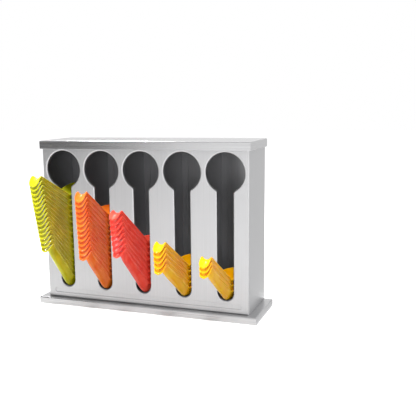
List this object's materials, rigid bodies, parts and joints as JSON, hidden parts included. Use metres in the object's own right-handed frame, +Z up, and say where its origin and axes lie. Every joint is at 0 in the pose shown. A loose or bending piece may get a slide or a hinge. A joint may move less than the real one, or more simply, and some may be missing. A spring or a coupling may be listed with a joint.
{
  "type": "spoon dispenser",
  "caption": "Counter-top spoon dispenser of folded steel sheet, with keyhole slots in front of compartments, a plinth, a lift-off cover and nested hooked spoons.",
  "frame": {"origin": "on the surface that the plinth stands on, on the plinth's hem, straight below the middle of the front panel's face", "axes": "+X along the front to the viewer's right, +Y from the front to the back, +Z up"},
  "size_m": [0.357, 0.1943, 0.2585],
  "materials": {
    "cabinet_steel": "vertically brushed, satin",
    "inner_steel": "brushed, dull inside",
    "plinth_steel": "horizontally brushed, satin",
    "cover_steel": "horizontally brushed, satin",
    "rivet_steel": "plain",
    "lime_melamine": "glossy",
    "orange_melamine": "glossy",
    "coral_melamine": "glossy",
    "amber_melamine": "glossy"
  },
  "bodies": {
    "cabinet": {"front_panel": "cabinet_steel", "left_side_panel": "cabinet_steel", "right_side_panel": "cabinet_steel", "back_panel": "cabinet_steel", "floor_panel": "inner_steel", "divider_1": "inner_steel", "divider_2": "inner_steel", "divider_3": "inner_steel", "divider_4": "inner_steel", "plinth": "plinth_steel", "rivets": "rivet_steel", "stack_1": "lime_melamine", "stack_2": "orange_melamine", "stack_3": "coral_melamine", "stack_4": "amber_melamine", "stack_5": "amber_melamine"},
    "cover": {"cover": "cover_steel"},
    "spoon_1": {"top_spoon_1": "lime_melamine"},
    "spoon_2": {"top_spoon_2": "orange_melamine"},
    "spoon_3": {"top_spoon_3": "coral_melamine"},
    "spoon_4": {"top_spoon_4": "amber_melamine"},
    "spoon_5": {"top_spoon_5": "amber_melamine"}
  },
  "joints": [
    {"name": "cover_lift", "type": "slide", "parent": "cabinet", "child": "cover", "axis": [0, 0, 1], "range_m": [0, 0.08]},
    {"name": "spoon_1_lift", "type": "slide", "parent": "cabinet", "child": "spoon_1", "axis": [0, 0, 1], "range_m": [0, 0.045]},
    {"name": "spoon_2_lift", "type": "slide", "parent": "cabinet", "child": "spoon_2", "axis": [0, 0, 1], "range_m": [0, 0.077]},
    {"name": "spoon_3_lift", "type": "slide", "parent": "cabinet", "child": "spoon_3", "axis": [0, 0, 1], "range_m": [0, 0.118]},
    {"name": "spoon_4_lift", "type": "slide", "parent": "cabinet", "child": "spoon_4", "axis": [0, 0, 1], "range_m": [0, 0.148]},
    {"name": "spoon_5_lift", "type": "slide", "parent": "cabinet", "child": "spoon_5", "axis": [0, 0, 1], "range_m": [0, 0.166]}
  ]
}
